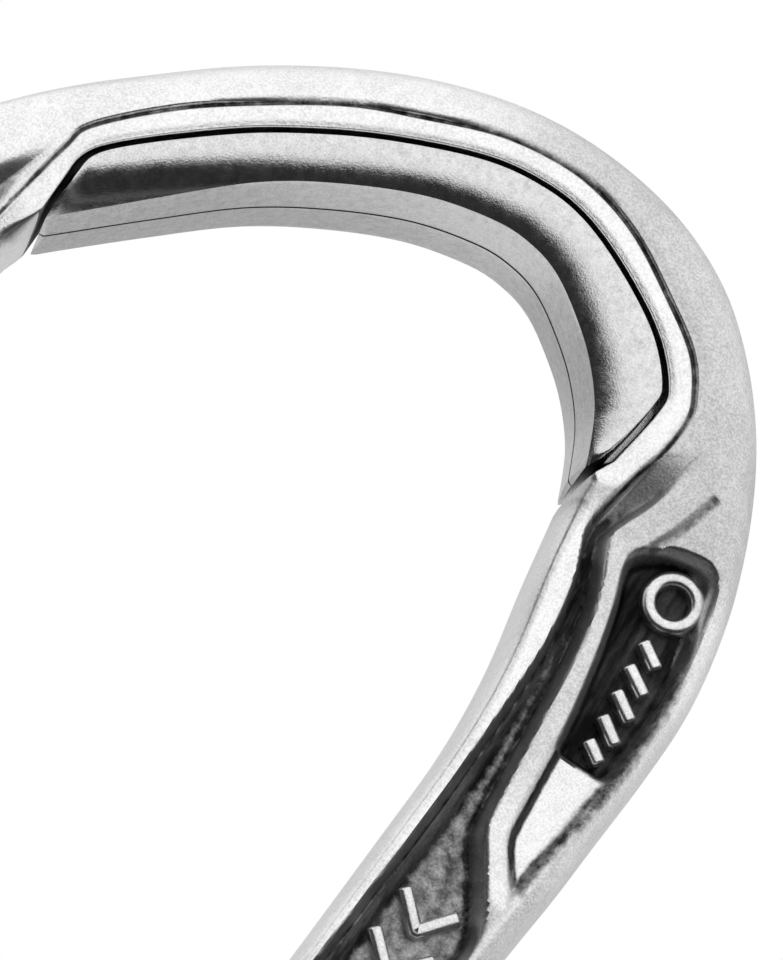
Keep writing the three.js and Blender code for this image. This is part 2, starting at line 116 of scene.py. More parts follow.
OUTER_POCKET = [
    (18.6, -11.9), (17.6, -12.6), (17.0, -13.4), (17.0, -14.2), (17.6, -16.1), (18.1, -18.1),
    (18.7, -21.2), (19.2, -24.8), (19.42, -28.6), (19.6, -31.4), (19.75, -32.5), (20.3, -33.5), (21.7, -35.2),
    (22.0, -33.2), (22.6, -30.0), (23.2, -26.0), (23.4, -21.0), (23.0, -16.6), (22.3, -13.0), (21.3, -11.5),
    (19.9, -11.5),
]
NOSE_POCKET = [
    (-25.6, -8.8), (-26.4, -10.0), (-27.2, -11.3), (-28.3, -13.3), (-29.8, -15.8), (-31.2, -18.4),
    (-31.4, -20.8), (-29.8, -21.2), (-28.2, -20.0), (-27.3, -17.2), (-26.9, -14.9), (-26.2, -11.4),
]
CHANNEL_START_DEPTH, CHANNEL_DEPTH = 1.9, 3.0
OUTER_POCKET_DEPTH, PLATEAU_DEPTH = 2.5, 0.75
NOSE_POCKET_DEPTH = 1.1
GROOVE_DEPTH, GROOVE_SWEEP = 0.20, 0.05
SPUR_DEPTH, RIB_DIP = 0.32, 0.10
LEAST_HEIGHT = 0.4
SPUR_LINE = [(19.3, -7.6), (18.9, -9.0), (18.3, -10.8), (17.6, -12.3)]
UPPER_SPUR_LINE = [(17.4, -4.9), (17.1, -5.7), (16.6, -7.3), (16.1, -8.9)]


# Plane curves.
def curve(points, divisions):
    """A Catmull-Rom line through points of a plane or of space, with so many divisions a span."""
    p = np.array(points, float)
    ends = np.vstack([p[:1], p, p[-1:]])
    t = np.linspace(0, 1, divisions, endpoint=False)[:, None]
    spans = []
    for i in range(len(p) - 1):
        a, b, c, d = ends[i:i + 4]
        spans.append(0.5 * (2 * b + (c - a) * t + (2 * a - 5 * b + 4 * c - d) * t ** 2
                            + (3 * b - a - 3 * c + d) * t ** 3))
    return np.vstack(spans + [p[-1:]])


def smooth(points, spacing=0.2):
    """A curve with evenly spaced points, one about every spacing."""
    line = curve(points, 24)
    return resampled(line, int(line_length(line)[-1] / spacing) + 2)


def line_length(line):
    """The length along a line at each of its points."""
    return np.concatenate([[0], np.cumsum(np.linalg.norm(np.diff(line, axis=0), axis=1))])


def resampled(line, count):
    along = line_length(line)
    at = np.linspace(0, along[-1], count)
    return np.stack([np.interp(at, along, line[:, k]) for k in range(line.shape[1])], axis=1)


def directions(line):
    """The unit direction of a line at each of its points."""
    along = np.gradient(line, axis=0)
    return along / np.linalg.norm(along, axis=1)[:, None]


def circle(count):
    """Cosines and sines of evenly spaced places round a full turn."""
    angle = np.arange(count) * 2 * math.pi / count
    return np.cos(angle), np.sin(angle)


def squared(value, power):
    """A cosine or sine pushed out towards the corners of a square."""
    return np.sign(value) * np.abs(value) ** power


def points_at(*coordinates):
    """Points from their coordinates, any of which may be one number for all of them."""
    return np.stack(np.broadcast_arrays(*coordinates), axis=1)


def arc(centre, radius, start, end, count):
    angle = np.radians(np.linspace(start, end, count))
    return points_at(centre[0] + radius * np.cos(angle), centre[1] + radius * np.sin(angle))


def offset_line(line, distance):
    """The line moved to the left of its direction."""
    along = directions(line)
    return line + distance * points_at(-along[:, 1], along[:, 0])


BLOCK = 4000


def distance_to(points, line):
    """The distance of each point from a line, worked out in blocks to save memory."""
    a, ab = line[:-1], np.diff(line, axis=0)
    square = np.maximum((ab ** 2).sum(1), 1e-12)
    result = np.empty(len(points))
    for i in range(0, len(points), BLOCK):
        p = points[i:i + BLOCK, None, :]
        t = np.clip(((p - a) * ab).sum(2) / square, 0, 1)
        result[i:i + BLOCK] = np.sqrt((((a + t[..., None] * ab) - p) ** 2).sum(2).min(1))
    return result


def inside(points, polygon):
    """Whether each point is inside a polygon, from how often a line to its right crosses the edges."""
    a, b = polygon, np.roll(polygon, -1, axis=0)
    x, z = points[:, 0:1], points[:, 1:2]
    crosses = (a[:, 1] > z) != (b[:, 1] > z)
    rise = np.where(b[:, 1] == a[:, 1], 1e-9, b[:, 1] - a[:, 1])
    edge = a[:, 0] + (b[:, 0] - a[:, 0]) * (z - a[:, 1]) / rise
    return (crosses & (x < edge)).sum(1) % 2 == 1


def depth_inside(points, outline):
    """How far each point is inside a closed outline: negative outside it."""
    polygon = smooth(outline + outline[:1], 0.5)
    distance = distance_to(points, polygon)
    return np.where(inside(points, polygon[:-1]), distance, -distance)


def step(value, low, high):
    """A soft step from 0 at low to 1 at high."""
    t = np.clip((value - low) / (high - low), 0, 1)
    return t * t * (3 - 2 * t)


def fade(value, low, high):
    """A soft step from 1 at low to 0 at high."""
    return 1 - step(value, low, high)


# Meshes.
def mesh_object(name, shape, attributes=None, sharp=None):
    """An object from a shape: millimetre vertices, and blocks of faces that index them."""
    vertices, faces = shape
    mesh = bpy.data.meshes.new(name)
    polygons = [tuple(int(i) for i in face) for block in faces for face in block]
    mesh.from_pydata((np.asarray(vertices) * MM).tolist(), [], polygons)
    for key, values in (attributes or {}).items():
        attribute = mesh.attributes.new(key, "FLOAT", "POINT")
        attribute.data.foreach_set("value", np.asarray(values, np.float32))
    mesh.update()
    mesh.polygons.foreach_set("use_smooth", [True] * len(mesh.polygons))
    if sharp:
        mesh.set_sharp_from_angle(angle=math.radians(sharp))
    thing = bpy.data.objects.new(name, mesh)
    bpy.context.scene.collection.objects.link(thing)
    return thing


def grid_faces(rows, columns):
    """Quads of a grid of vertices: rows of closed rings."""
    r = np.arange(rows - 1)[:, None]
    c = np.arange(columns)[None, :]
    after = (c + 1) % columns
    corners = [r * columns + c, r * columns + after, (r + 1) * columns + after, (r + 1) * columns + c]
    return np.stack(np.broadcast_arrays(*corners), axis=-1).reshape(-1, 4)


def loft(rings, closed=False):
    """A skin over rings of equal point counts, capped at both ends, or joined end to end if closed."""
    rows, columns = len(rings), len(rings[0])
    vertices = np.concatenate(rings)
    if closed:
        faces = grid_faces(rows + 1, columns) % (rows * columns)
        return vertices, [faces]
    caps = np.arange(columns)
    return vertices, [grid_faces(rows, columns), [caps[::-1]], [caps + (rows - 1) * columns]]


def merged(shapes):
    """Several shapes as one."""
    vertices, blocks, first = [], [], 0
    for points, faces in shapes:
        vertices.append(points)
        blocks += [np.asarray(block) + first for block in faces]
        first += len(points)
    return np.concatenate(vertices), blocks


def tube(path, radius, sides):
    """A round thread or wire along a line of points."""
    along = directions(path)
    across = np.cross(along, (0.0, 1.0, 0.0))
    weak = np.linalg.norm(across, axis=1) < 0.2
    across[weak] = np.cross(along[weak], (1.0, 0.0, 0.0))
    across /= np.linalg.norm(across, axis=1)[:, None]
    up = np.cross(across, along)
    c, s = circle(sides)
    return loft([p + radius * (np.outer(c, a) + np.outer(s, u)) for p, a, u in zip(path, across, up)])


def lathe(profile, segments):
    """A solid of revolution about the gate's pivot."""
    c, s = circle(segments)
    return loft([points_at(PIVOT[0] + r * c, y, PIVOT[1] - r * s) for r, y in profile])


def plate(outline, half_width, bevel):
    """A plate with rounded edges. Its outline, anticlockwise in x and z, is in the carabiner's plane."""
    closed = np.vstack([outline[-1:], outline, outline[:1]])
    rings = []
    for middle, turns in ((bevel - half_width, (-90, -60, -30, 0)), (half_width - bevel, (0, 30, 60, 90))):
        for turn in np.radians(turns):
            flat = offset_line(closed, bevel * (1 - math.cos(turn)))[1:-1]
            rings.append(points_at(flat[:, 0], middle + bevel * math.sin(turn), flat[:, 1]))
    return loft(rings)


def to_world(shape, end):
    """From a carabiner's own frame to the quickdraw's: the rope end is turned over about X and lower."""
    if end == "bolt":
        return shape
    vertices, faces = shape
    return vertices * np.array([1, -1, -1]) + np.array([0, 0, ROPE_SEAT_Z]), faces


gate_line = NOSE_SEAT - PIVOT
GATE_LENGTH = float(np.linalg.norm(gate_line))
GATE_UP = gate_line / GATE_LENGTH
GATE_ACROSS = np.array([GATE_UP[1], -GATE_UP[0]])


def on_gate(across, along):
    """A point of the carabiner's plane from its place across and along the gate."""
    return PIVOT + across * GATE_ACROSS + along * GATE_UP


def place_on_gate(shape):
    """From an upright gate's coordinates (across, depth, along) to the carabiner's frame."""
    vertices, faces = shape
    plane = PIVOT + np.outer(vertices[:, 0], GATE_ACROSS) + np.outer(vertices[:, 2], GATE_UP)
    return points_at(plane[:, 0], vertices[:, 1], plane[:, 1]), faces


def rounded_bar(low, high, bevel=0.3):
    """A box with rounded upright edges and ends, between two corners."""
    centre, half = (np.array(high) + low) / 2, (np.array(high) - low) / 2
    across, deep = (squared(v, 0.18) for v in circle(40))
    corner = ((0, 1), (0.3, 0.3), (1, 0))
    rings = []
    for end, places in ((-1, corner), (1, corner[::-1])):
        for drop, inset in places:
            x, y = half[:2] - inset * bevel
            level = centre[2] + end * (half[2] - drop * bevel)
            rings.append(points_at(centre[0] + across * x, centre[1] + deep * y, level))
    return loft(rings)


def add(name, shape, body, nodes, slot, material, **extra):
    """A piece that rides on a body and stands for CAD nodes."""
    piece = mesh_object(name, shape, **extra)
    piece.data.materials.append(material)
    if body:
        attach(piece, body)
    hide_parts(*nodes)
    return piece


# The forging.
seat_line = offset_line(smooth(INSERT_BACK), SEAT_GAP)
outer_curve = np.vstack([
    smooth([tuple(on_gate(-GATE_HALF_WIDTH, GATE_LENGTH))] + NOSE_OUTER + BASKET_OUTER + SPINE_OUTER),
    arc(EYE, EYE_OUTER, 0, -180, 300)[1:],
    [(-21.3, -67.6)],
])
inner_curve = np.vstack([
    smooth([tuple(on_gate(GATE_HALF_WIDTH, GATE_LENGTH)), (-25.4, -17.6), (-25.05, -15.3)]),
    seat_line[1:],
    [(11.72, -10.5)],
    smooth(SPINE_INNER)[1:],
    arc(EYE, EYE_INNER, 0, -180, 200)[1:],
    [(-12.8, -67.2)],
])

# Matching places on the inner and outer edges, from the nose round to the hinge, and the spacing of
# the stations up to each.
STATION_KEYS = [
    ((-25.8, -22.3), (-34.2, -24.7), 0.4), ((-25.4, -17.6), (-35.4, -19.5), 0.4),
    ((-25.0, -15.0), (-34.9, -15.8), 0.3), ((-24.9, -12.4), (-33.6, -12.8), 0.25),
    ((-24.1, -9.9), (-30.9, -9.2), 0.22), ((-18.4, -4.7), (-22.8, -0.8), 0.28),
    ((-9.4, 0.9), (-12.4, 6.0), 0.3), ((0, 3.7), (0, 9.3), 0.3), ((6.9, 1.8), (9.8, 7.3), 0.28),
    ((12.2, -2.2), (17.8, 1.0), 0.24), ((13.1, -4.4), (20.9, -3.8), 0.22),
    ((12.4, -8.8), (22.9, -9.6), 0.22), ((11.7, -10.5), (23.3, -11.6), 0.11),
    ((12.2, -16.8), (24.2, -17.0), 0.13), ((13.2, -23.0), (24.3, -23.5), 0.26),
    ((13.1, -36.5), (23.5, -36.8), 0.28), ((12.2, -50), (22.3, -50), 0.5),
    ((11, -71), (21, -71), 0.8), ((0, -82), (0, -92), 0.8), ((-11, -71), (-21, -71), 0.8),
    ((-12.8, -67.2), (-21.3, -67.6), 0.5),
]
# Columns of points over the inner chamfer, the face and the outer dome.
FRONT_COLUMNS = (12, 70, 20)
BACK_COLUMNS = (7, 26, 10)


def place_on(line, point):
    """The length along a line at which it passes nearest a point."""
    return line_length(line)[np.argmin(((line - np.array(point)) ** 2).sum(1))]


def stations():
    """The inner and outer end of every station, and how far along the keys it is."""
    inner_keys = [place_on(inner_curve, k[0]) for k in STATION_KEYS]
    outer_keys = [place_on(outer_curve, k[1]) for k in STATION_KEYS]
    key_at = []
    for i, (_, _, spacing) in enumerate(STATION_KEYS[1:]):
        count = max(int(round((outer_keys[i + 1] - outer_keys[i]) / spacing)), 2)
        key_at.append(i + np.arange(count) / count)
    key_at = np.append(np.concatenate(key_at), len(STATION_KEYS) - 1.0)

    def pick(line, keys):
        at = np.interp(key_at, np.arange(len(keys)), keys)
        return points_at(*(np.interp(at, line_length(line), line[:, k]) for k in (0, 1)))

    return pick(inner_curve, inner_keys), pick(outer_curve, outer_keys), key_at


def relief(p, from_outer):
    """How deep the face is cut at each point, how dark it is painted (oxidation in the crevices and painted
    shade) and how polished it is.
    """
    x, down = p[:, 0], -p[:, 1]
    channel = depth_inside(p, CHANNEL)
    pocket = depth_inside(p, OUTER_POCKET)
    nose = depth_inside(p, NOSE_POCKET)
    groove = distance_to(p, smooth(GROOVE_LINE))
    spurs = np.minimum(distance_to(p, smooth(SPUR_LINE)), distance_to(p, smooth(UPPER_SPUR_LINE)))
    seat = distance_to(p, seat_line)
    inner_rim = distance_to(p, smooth(SPINE_INNER))

    # The cuts: how far the pockets, the groove, the spurs and the dip beside the insert go down.
    channel_start = step(down, 5.5, 12.5)
    deepening = (CHANNEL_DEPTH - CHANNEL_START_DEPTH) * step(down, 13, 18)
    channel_wall = step(channel, -0.38, 0.3) * step(from_outer, 1.0, 2.0)
    plateau = step(down, 25.6, 26.5)
    pocket_depth = OUTER_POCKET_DEPTH - (OUTER_POCKET_DEPTH - PLATEAU_DEPTH) * plateau
    nose_wall = step(nose, -0.3, 1.5) * step(from_outer, 1.2, 2.6)
    groove_fade = fade(down, 17.5, 20.5)
    groove_cut = GROOVE_DEPTH * fade(groove, 0.02, 0.26) + GROOVE_SWEEP * fade(groove, 0.1, 1.0)
    cut = np.maximum.reduce([
        (CHANNEL_START_DEPTH + deepening) * channel_start * channel_wall,
        pocket_depth * step(pocket, -0.5, 0.5) * step(from_outer, 1.0, 2.6),
        NOSE_POCKET_DEPTH * step(down, 9.5, 17.5) * nose_wall,
        groove_cut * groove_fade,
        SPUR_DEPTH * fade(spurs, 0.0, 0.5) * step(down, 4.4, 8.5),
        RIB_DIP * fade(seat, 0.1, 0.7),
    ])

    # Darkness: oxidation in the recesses, lighter where the channel's floor and the plateau are worn, and
    # painted shade in the channel, along the groove, by the spurs, down the pocket's outer wall and as a
    # painted shadow of the middle rib on the plateau; the pocket floor is painted lighter where its wall is
    # lit.
    worn = step(down, 14, 27) * step(channel, 0.25, 0.8) * step(inner_rim, 2.4, 3.3)
    shade_channel = step(channel, -0.05, 0.5) * (0.35 * channel_start + 0.65 * step(down, 9.5, 13.5))
    worn_plateau = plateau * step(pocket, 0.22, 0.55)
    # Painted light: the pocket floor is painted less dark where its outer wall is lit.
    lit_wall = 0.5 * step(x, 20.0, 21.6) * fade(down, 15, 20)
    pocket_floor = step(pocket - lit_wall, -0.15, 0.45) * step(from_outer, 1.5, 2.7)
    # Painted shade: a dark band down the pocket's outer wall.
    pocket_wall_shade = step(pocket, -1.0, -0.1) * fade(pocket, 0.25, 0.9) * step(x, 21.0, 21.8)
    # Painted shadow: a dark line on the plateau beside the middle rib.
    rib_shadow_on_plateau = fade(np.abs(pocket - 0.1), 0.10, 0.36) * fade(x, 20.6, 21.6)
    nose_floor = step(nose, 0.1, 0.9) * (1 - 0.5 * step(nose, 0.9, 1.6))
    groove_shade = 0.62 * fade(groove, 0.04, 0.20) + 0.16 * fade(groove, 0.1, 0.8)
    dark = np.maximum.reduce([
        shade_channel * (1 - 0.52 * worn),
        pocket_floor * (1 - worn_plateau),
        0.58 * pocket_wall_shade * step(down, 15, 19),
        0.95 * plateau * rib_shadow_on_plateau,
        0.5 * nose_floor * step(down, 10.5, 16.5),
        groove_shade * groove_fade,
        # Painted shade beside the spurs.
        0.5 * fade(spurs, 0.05, 0.4) * step(down, 4.6, 9.0),
    ])

    # The polish: the rib round the insert, the rims, the middle rib, the plateau and the nose.
    below = step(down, 10, 15)
    middle_rib = below * step(channel, -2.0, -1.3) * step(pocket, -2.0, -1.3)
    polish = np.maximum.reduce([
        0.9 * fade(seat, 1.2, 2.3) * (1 - below),
        below * np.maximum(fade(inner_rim, 2.0, 2.8), 0.6 * fade(from_outer, 1.6, 2.6)),
        (0.35 + 0.45 * step(down, 27, 33)) * middle_rib,
        0.9 * worn_plateau,
        fade(x, -12, 7),
    ])
    return cut, dark, polish


def blank_sections(inner, outer, key_at, columns):
    """The forging before its face is cut: one half section a station, from the inner edge over the
    face to the outer edge, as points of the plane and heights above mid thickness."""
    chamfer, top, dome = columns
    key = key_at[:, None]
    width = np.linalg.norm(outer - inner, axis=1)[:, None]
    seat = step(key, 0.7, 2.0) * fade(key, 11.7, 12.3)
    basket = step(key, 3.5, 5.5) * fade(key, 10.0, 13.0)
    spine = step(key, 12.0, 13.0)
    eye = step(key, 16.0, 17.0)
    face = HALF_THICKNESS - 0.6 * fade(key, 0, 2.2) - 0.5 * step(key, 19.0, 20.0)
    chamfer_width = 0.25 * seat + (1 - seat) * (1.5 - 0.4 * spine + 2.1 * eye)
    dome_width = 1.7 + 1.9 * basket + 1.6 * eye
    chamfer_power = 2 / (2.3 + 1.1 * seat)
    dome_power = 2 / (2.2 - 0.1 * basket)
    rise, fall = np.linspace(0, math.pi / 2, chamfer), np.linspace(math.pi / 2, 0, dome)
    t = np.linspace(0, 1, top + 2)[1:-1]
    at = np.hstack([
        chamfer_width * (1 - np.cos(rise) ** chamfer_power),
        chamfer_width + t * (width - dome_width - chamfer_width),
        width - dome_width * (1 - np.cos(fall) ** dome_power),
    ])
    flat = np.ones((len(key), top))
    height = face * np.hstack([np.sin(rise) ** chamfer_power, flat, np.sin(fall) ** dome_power])
    share = (at / width)[..., None]
    plane = inner[:, None] * (1 - share) + outer[:, None] * share
    # Painted shade: the chamfer's wall down in the gap by the insert is painted fully dark.
    shaded_gap_wall = (key > 1.9) & (key < 11.9) & (at < 0.2) & (height < face - 0.12)
    return plane, height, width - at, shaded_gap_wall


def bend_to_shoulder(plane, key_at):
    """The last stations curve round the gate's ears."""
    share = step(key_at, 18.7, 20.0)[:, None, None]
    from_pivot = plane - PIVOT
    drop = np.sqrt(np.maximum(SHOULDER_RADIUS ** 2 - from_pivot[..., 0] ** 2, 0.3))
    below = PIVOT + np.stack([from_pivot[..., 0], -drop], axis=-1)
    return plane * (1 - share) + below * share


def forging_half(columns):
    """One side of the forging: points of the plane, heights, and darkness (oxidation in the crevices and
    painted shade) and polish values.
    """
    inner, outer, key_at = stations()
    plane, height, from_outer, shaded_gap_wall = blank_sections(inner, outer, key_at, columns)
    cut, dark, polish = (v.reshape(height.shape) for v in relief(plane.reshape(-1, 2), from_outer.ravel()))
    room = np.clip(height / HALF_THICKNESS, 0, 1) ** 2
    cut_height = np.maximum(height - cut * room, np.minimum(height, LEAST_HEIGHT))
    return bend_to_shoulder(plane, key_at), cut_height, np.maximum(dark * room, shaded_gap_wall), polish


def forging_shape():
    """The forging as one closed skin, a fine front and a coarser back, with the hinge tongue and the
    nose's T. Also its darkness values, oxidation in the crevices and painted shade, and polish values."""
    halves = []
    for side, columns in ((-1, FRONT_COLUMNS), (1, BACK_COLUMNS)):
        plane, height, dark, polish = forging_half(columns)
        half = np.stack([plane[..., 0], side * height, plane[..., 1], dark, polish], axis=-1)
        halves.append(half if side < 0 else half[:, -2:0:-1])
    rings = np.concatenate(halves, axis=1)
    vertices, (skin, nose_cap, _) = loft(list(rings[..., :3]))
    hinge_cap = zipped(rings[-1], sum(FRONT_COLUMNS)) + len(vertices) - rings.shape[1]
    shape = merged([(vertices, [skin, nose_cap, hinge_cap]), *nose_tee(), *hinge_tongue()])
    extra = np.zeros(len(shape[0]) - len(vertices))
    oxidation_and_shade, shine = rings[..., 3].ravel(), rings[..., 4].ravel()
    return shape, {"crevice_dark_and_painted_shade": np.append(oxidation_and_shade, extra), "polish": np.append(shine, extra + 0.5)}


def zipped(ring, front_count):
    """Triangles from the front half of a ring to its back half, so that a bent end stays bent."""
    front = list(range(front_count))
    back = [0, *range(len(ring) - 1, front_count - 1, -1), front_count - 1]
    triangles = []
    i = j = 0
    while i + j < len(front) + len(back) - 2:
        front_next, back_next = (ring[side[k + 1], 0] if k + 1 < len(side) else -math.inf
                                 for side, k in ((front, i), (back, j)))
        if front_next >= back_next:
            triangles.append((front[i], front[i + 1], back[j]))
            i += 1
        else:
            triangles.append((front[i], back[j + 1], back[j]))
            j += 1
    return np.array([t for t in triangles if len(set(t)) == 3])


TEE_ACROSS = (-4.25, 2.0)
TEE_FOOT = GATE_LENGTH - 6.3
# Half thickness, bottom and top of the T's neck and head.
TEE_BARS = [(1.6, TEE_FOOT + 0.1, GATE_LENGTH + 2), (3.0, TEE_FOOT, TEE_FOOT + 3.0)]
TONGUE_RADIUS, TONGUE_SHOULDER = 4.0, 2.6
TONGUE_HALF_THICKNESS = 2.1


def nose_tee():
    """The T of the nose that the gate closes round."""
    left, right = TEE_ACROSS
    bars = [rounded_bar((left, -half, bottom), (right, half, top)) for half, bottom, top in TEE_BARS]
    return [place_on_gate(bar) for bar in bars]


def hinge_tongue():
    """The tongue between the gate's ears: a disc on the rivet, and its root in the forging."""
    across, along = (TONGUE_RADIUS * v for v in circle(60))
    along = np.where(across > 0, np.minimum(along, TONGUE_SHOULDER), along)
    disc = np.array([on_gate(a, v) for a, v in zip(across, along)])
    corners = [on_gate(3.9, -0.5), on_gate(-3.8, 0), (-20.2, -73.5), (-12.0, -73.5), on_gate(3.9, -0.5)]
    root = resampled(np.array(corners), 41)[:-1]
    return [plate(disc, TONGUE_HALF_THICKNESS, 0.25), plate(root, TONGUE_HALF_THICKNESS - 0.01, 0.2)]


# Plain raised marks on the pocket floors: a ring, a row of slanted bars and wide chevrons.
RING_CENTRE, RING_RADIUS = (20.5, -13.95), 1.55
BAR_MARKS = [
    ((20.1, -17.0), (21.9, -18.2)), ((20.1, -18.8), (22.2, -20.1)), ((20.3, -20.6), (22.3, -21.9)),
    ((20.4, -22.4), (22.3, -23.7)), ((20.5, -24.2), (22.0, -25.2)),
]
CHEVRON_MARKS = [
    ((15.9, -38.1), (18.0, -40.2), (19.9, -37.9)), ((15.6, -41.2), (17.9, -43.4), (20.1, -41.0)),
    ((15.3, -44.3), (17.7, -46.5), (20.0, -44.1)), ((15.0, -47.4), (17.5, -49.6), (19.6, -47.3)),
]
MARK_HALF_WIDTH, MARK_RISE = 0.5, 1.1


def mark(line, level, closed=False):
    """A flat-topped bead along a line of the carabiner's plane, sunk into a floor at a level."""
    c, s = circle(18)
    across, rise = MARK_HALF_WIDTH * squared(c, 0.6), MARK_RISE * squared(s, 0.45)
    around = np.vstack([line[-1:], line, line[:1]])
    along = directions(around)[1:-1] if closed else directions(line)
    rings = []
    for i, (p, d) in enumerate(zip(line, along)):
        small = 1 if closed else math.sqrt(min(1, 0.12 + min(i, len(line) - 1 - i) / 2.5))
        plane = p + np.outer(across * small, (-d[1], d[0]))
        rings.append(points_at(plane[:, 0], level + rise * small, plane[:, 1]))
    return loft(rings, closed)


def raised_marks():
    """The marks of both faces."""
    shapes = []
    for side in (-1, 1):
        pocket = side * (HALF_THICKNESS - OUTER_POCKET_DEPTH)
        channel = side * (HALF_THICKNESS - CHANNEL_DEPTH)
        shapes.append(mark(arc(RING_CENTRE, RING_RADIUS, 0, 360, 49)[:-1], pocket, closed=True))
        shapes += [mark(resampled(np.array(m), 26), pocket) for m in BAR_MARKS]
        shapes += [mark(resampled(np.array(m), 60), channel) for m in CHEVRON_MARKS]
    return merged(shapes)


# The steel insert.
INSERT_FLAT, INSERT_FACE, SHOULDER_HEIGHT = 5.15, 5.9, 3.3
CROWN, PARTING_STEP = 0.3, 0.08
RIB_HALF_WIDTH, RIB_HEIGHT = 1.6, 0.6


def insert_half(edge, depth, crown):
    """One side of the insert's section: (y outwards, height above the bearing line)."""
    top = min(SHOULDER_HEIGHT, depth - crown - 0.1)
    low = CROWN - PARTING_STEP
    parting = [(0.0, 0.06), (0.05, 0.05), (0.13, -0.07), (0.2, -PARTING_STEP)]
    flat = [(y, CROWN * (y / edge) ** 1.5 - PARTING_STEP) for y in np.linspace(0.5, edge, 9)]
    rise = np.radians(np.linspace(28, 90, 22))
    out = (np.sin(rise) - math.sin(rise[0])) / (1 - math.sin(rise[0]))
    up = 1 - np.cos(rise) / math.cos(rise[0])
    shoulder = zip(edge + (INSERT_FACE - edge) * out, low + (top - low) * up)
    face = [(INSERT_FACE, z) for z in np.linspace(top, depth - crown, 5)[1:]]
    return np.array([
        *parting, *flat, *shoulder, *face,
        (INSERT_FACE - 0.3 * crown, depth - 0.3 * crown), (INSERT_FACE - crown, depth),
        (RIB_HALF_WIDTH, depth), (RIB_HALF_WIDTH, depth + RIB_HEIGHT),
    ])


def insert_shape():
    """A shoe with a lightly crowned underside, crisp lower edges, long rounded shoulders, flat faces
    and the root of its rib. Also the darkness of its parting line, and painted shade on the rib's root down
    in the gap."""
    under = resampled(smooth(BEARING_LINE), 320)
    over = resampled(smooth(INSERT_BACK), 320)
    rows = len(under)
    depth = np.linalg.norm(over - under, axis=1)
    direction = (over - under) / depth[:, None]
    rings, dark = [], []
    for i in range(rows):
        t = i / (rows - 1)
        end = 1 - min(1, min(t, 1 - t) / 0.010)
        crown = 0.16 + 0.35 * fade(min(t, 1 - t), 0.005, 0.035)
        front = insert_half(INSERT_FLAT - 1.5 * fade(t, 0.0, 0.36), depth[i], crown)
        back = insert_half(INSERT_FLAT, depth[i], crown)
        ring = np.vstack([front * (-1, 1), back[1:][::-1]])
        ring[:, 0] -= 0.35 * end * np.sign(ring[:, 0]) * (np.abs(ring[:, 0]) > 1)
        on_rib = ring[:, 1] > depth[i] + 0.1
        roof = depth[i] + RIB_HEIGHT * on_rib - 0.2 * end
        ring[:, 1] = np.clip(ring[:, 1], 0.2 * end - PARTING_STEP * (1 - end), roof)
        plane = under[i] + np.outer(ring[:, 1], direction[i])
        rings.append(points_at(plane[:, 0], ring[:, 0], plane[:, 1]))
        # Dark along the parting line; the rib's root, down in the gap by the forging, is painted dark as
        # painted shade.
        dark.append((np.abs(ring[:, 0]) < 0.15) | on_rib)
    return loft(rings), {"crevice_dark_and_painted_shade": np.concatenate(dark) * 0.9}


# Gates, rivets and springs.
FORK = [(-2.5, -8), (2.5, -8), (2.5, 4.6), (-2.5, 4.6)]
FORK_REACH = (-8, 8)
GATE_TOP = GATE_LENGTH - GATE_TOP_GAP
SLOT_LOW, SLOT_STEP, SLOT_HIGH = GATE_LENGTH - 6.7, GATE_LENGTH - 2.9, GATE_LENGTH + 2
NOSE_SLOT = [(-3.4, SLOT_LOW), (3.4, SLOT_LOW), (3.4, SLOT_STEP), (2, SLOT_STEP),
             (2, SLOT_HIGH), (-2, SLOT_HIGH), (-2, SLOT_STEP), (-3.4, SLOT_STEP)]
NOSE_REACH = (-8, 2.4)
BORE_ACROSS, BORE_RADIUS, BORE_SPAN = 1.4, 2.0, (3.6, 15.5)
HOLE_RADIUS, PIN_RADIUS = 1.8, 1.5
MILLING_DEPTH = 0.5
CROWN_LENGTH, CROWN_ROUND = 0.8, 0.7
SPRING_RADIUS, SPRING_WIRE, SPRING_TURNS = 1.35, 0.22, 6
SPRING_LOW, SPRING_HIGH = 8.12, 14.98


def gate_blank(bow):
    """A bar of rounded rectangular section with round ears, a soft crown and a milled flat each side."""
    ears = -GATE_HALF_WIDTH * np.cos(np.radians(np.linspace(3, 90, 16)))
    shoulder = GATE_TOP - CROWN_LENGTH
    top = shoulder + CROWN_LENGTH * np.sin(np.radians(np.linspace(20, 90, 6)))
    c, s = circle(72)
    rings = []
    for v in np.concatenate([ears, np.linspace(0.6, shoulder, 84), top]):
        half = math.sqrt(max(GATE_HALF_WIDTH ** 2 - min(v, 0) ** 2, 0.02))
        crown = CROWN_ROUND * (1 - math.sqrt(max(1 - (max(v - shoulder, 0) / CROWN_LENGTH) ** 2, 0)))
        shift = bow * math.sin(math.pi * min(max((v - BOW_START) / (BOW_END - BOW_START), 0), 1)) ** 2
        power = 0.5 if v > 0.5 else 0.3
        a = squared(c, power) * (half - crown)
        y = squared(s, power) * (GATE_HALF_THICKNESS - crown)
        milled = step(v, 8.5, 10.0) * fade(v, 33.5, 35.0) * fade(np.abs(a), 1.7, 2.5)
        rings.append(points_at(a + shift, y - np.sign(y) * MILLING_DEPTH * milled, v))
    return loft(rings[::-1])


def cutter(name, outline, reach):
    """A prism across the gate from an outline of depths and heights."""
    shape = loft([np.array([(across, depth, height) for depth, height in outline]) for across in reach])
    return mesh_object(name, place_on_gate(shape))


